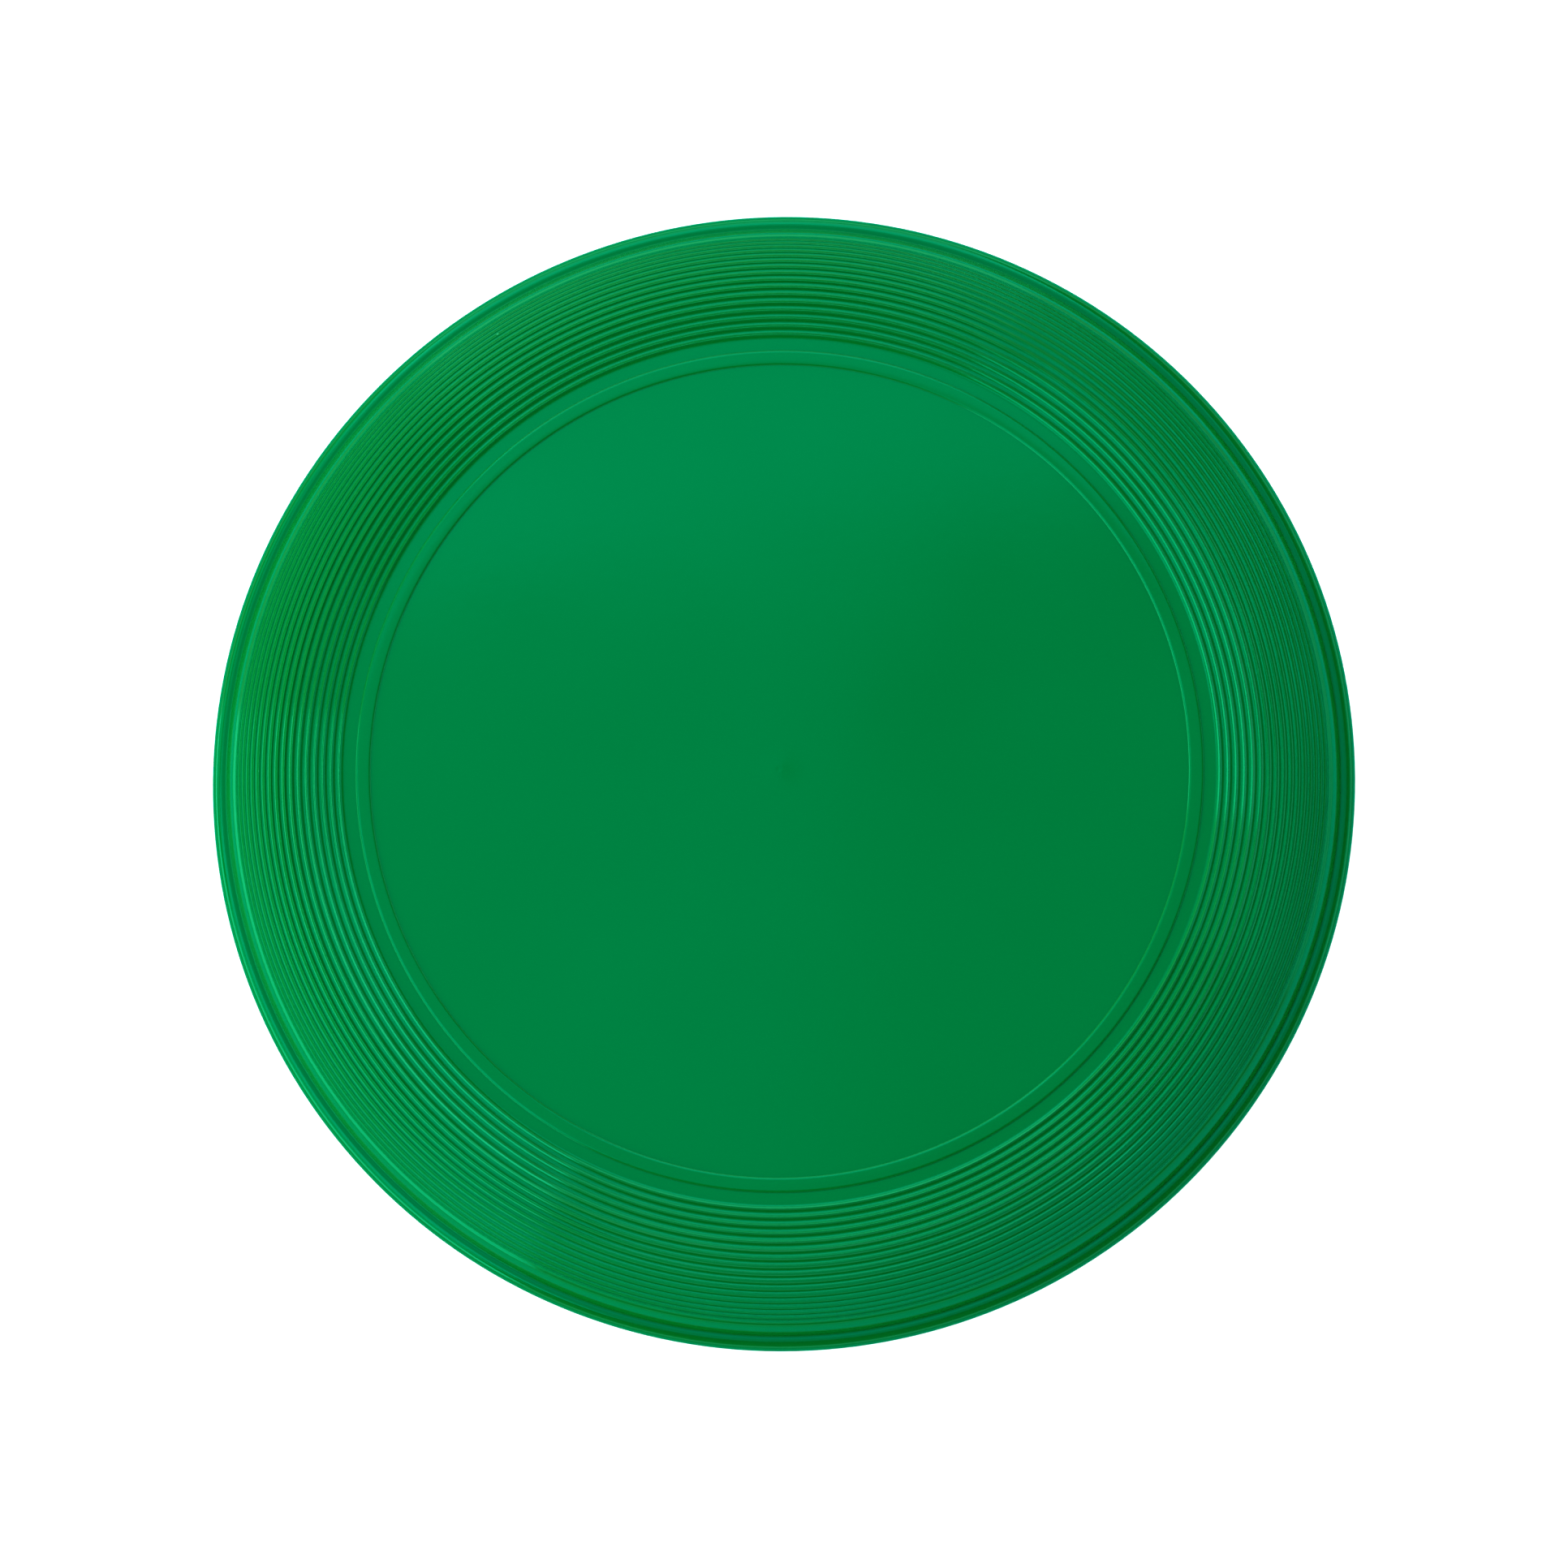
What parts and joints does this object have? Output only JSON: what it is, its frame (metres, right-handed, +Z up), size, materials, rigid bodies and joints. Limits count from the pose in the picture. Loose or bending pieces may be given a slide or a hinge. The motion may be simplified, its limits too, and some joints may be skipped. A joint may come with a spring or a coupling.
{
  "type": "flying disc",
  "caption": "Round throwing disc with a flat closed plate, a raised ring, concentric flight ridges and a rounded lip, hollow underneath.",
  "frame": {"origin": "centre of the circle that the rim rests on, at the level of its flat land", "axes": "+Z up along the disc's axis, out of the plate's top face; X and Y lie in the resting plane and are alike, because the disc is a turned shape"},
  "size_m": [0.22, 0.22, 0.0188],
  "materials": {
    "disc_plastic": "semi-gloss green moulded polypropylene"
  },
  "bodies": {
    "root": {"flying_disc": "disc_plastic"}
  },
  "joints": []
}
